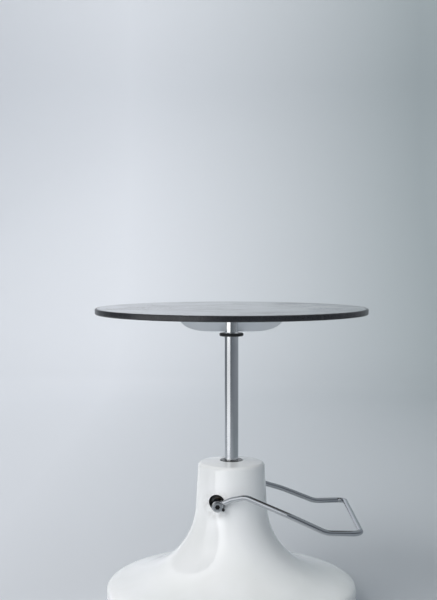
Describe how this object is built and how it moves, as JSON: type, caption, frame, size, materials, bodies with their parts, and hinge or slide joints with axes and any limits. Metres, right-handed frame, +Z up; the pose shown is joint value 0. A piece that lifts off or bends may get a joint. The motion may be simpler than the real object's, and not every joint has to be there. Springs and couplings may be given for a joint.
{
  "type": "sculpting turntable",
  "caption": "Round turntable top on a hydraulic column, raised by a U-shaped pump lever on a bell-shaped base.",
  "frame": {"origin": "on the floor, under the column's axis", "axes": "+Z up along the column, +X towards the pump lever's crossbar, +Y across, along the lever's cross shaft"},
  "size_m": [0.4499, 0.45, 0.505],
  "materials": {
    "white_enamel": "gloss enamel",
    "zinc_plate": "zinc plated",
    "black_rubber": "matt",
    "steel_screw": "zinc plated",
    "cast_housing": "painted grey",
    "machined_steel": "machined",
    "bronze": "bearing bronze",
    "seal_rubber": "gloss",
    "chrome_plate": "polished",
    "black_ring": "satin",
    "spring_steel": "oiled",
    "grey_enamel": "satin enamel",
    "board": "dense fibreboard, sealed",
    "black_laminate": "high gloss",
    "black_trim": "satin"
  },
  "bodies": {
    "base": {"base_shell": "white_enamel", "base_plate": "zinc_plate", "base_plate_screws": "steel_screw", "rubber_feet": "black_rubber", "foot_screws": "steel_screw", "reservoir_tank": "cast_housing", "tank_bolts": "steel_screw", "valve_block": "cast_housing", "check_valve_balls": "machined_steel", "cylinder_tube": "machined_steel", "tank_cap": "cast_housing", "cap_screws": "steel_screw", "lever_bracket": "zinc_plate", "shaft_bushes": "bronze", "pump_barrel": "machined_steel", "release_valve_body": "bronze", "filler_plug": "bronze", "guide_bush": "bronze", "rod_seal": "seal_rubber", "gland_ring": "machined_steel", "wiper_seal": "seal_rubber"},
    "lever": {"cross_shaft": "machined_steel", "rocker_fork": "zinc_plate", "fork_pins": "machined_steel", "presser_pin": "machined_steel", "lever_bail": "chrome_plate", "lever_bosses": "chrome_plate", "boss_screws": "steel_screw"},
    "plunger": {"pump_plunger": "machined_steel", "plunger_ring": "seal_rubber", "plunger_spring": "spring_steel"},
    "release": {"release_pin": "machined_steel", "release_spring": "spring_steel"},
    "column": {"ram": "chrome_plate", "piston_ring": "bronze", "piston_spacer": "machined_steel", "piston_screw": "machined_steel", "stop_ring": "black_ring", "pivot_ball": "machined_steel"},
    "table": {"table_hub": "chrome_plate", "hub_bushes": "bronze", "hub_set_screw": "steel_screw", "table_flange": "grey_enamel", "flange_screws": "steel_screw", "table_board": "board", "top_laminate": "black_laminate", "edge_trim": "black_trim"}
  },
  "joints": [
    {"name": "column_lift", "type": "slide", "parent": "base", "child": "column", "axis": [0, 0, 1], "range_m": [-0.18, 0]},
    {"name": "table_turn", "type": "hinge", "parent": "column", "child": "table", "pos_m": [0, 0, 0.4765], "axis": [0, 0, 1], "continuous": true},
    {"name": "lever_pump", "type": "hinge", "parent": "base", "child": "lever", "pos_m": [-0.023, 0, 0.1885], "axis": [0, 1, 0], "range_deg": [0, 22], "stiffness_Nm_per_rad": 3, "springref_deg": -20.05},
    {"name": "plunger_stroke", "type": "slide", "parent": "base", "child": "plunger", "axis": [0, 0, 1], "range_m": [-0.02053, 0.0002], "deforming": ["plunger_spring"]},
    {"name": "release_press", "type": "slide", "parent": "base", "child": "release", "axis": [0, 0, 1], "range_m": [-0.003, 0], "stiffness_N_per_m": 400, "springref_m": 0.003, "deforming": ["release_spring"]}
  ],
  "couplings": [
    {"joint": "plunger_stroke", "follows": "lever_pump", "m_per_rad": -0.052675}
  ]
}
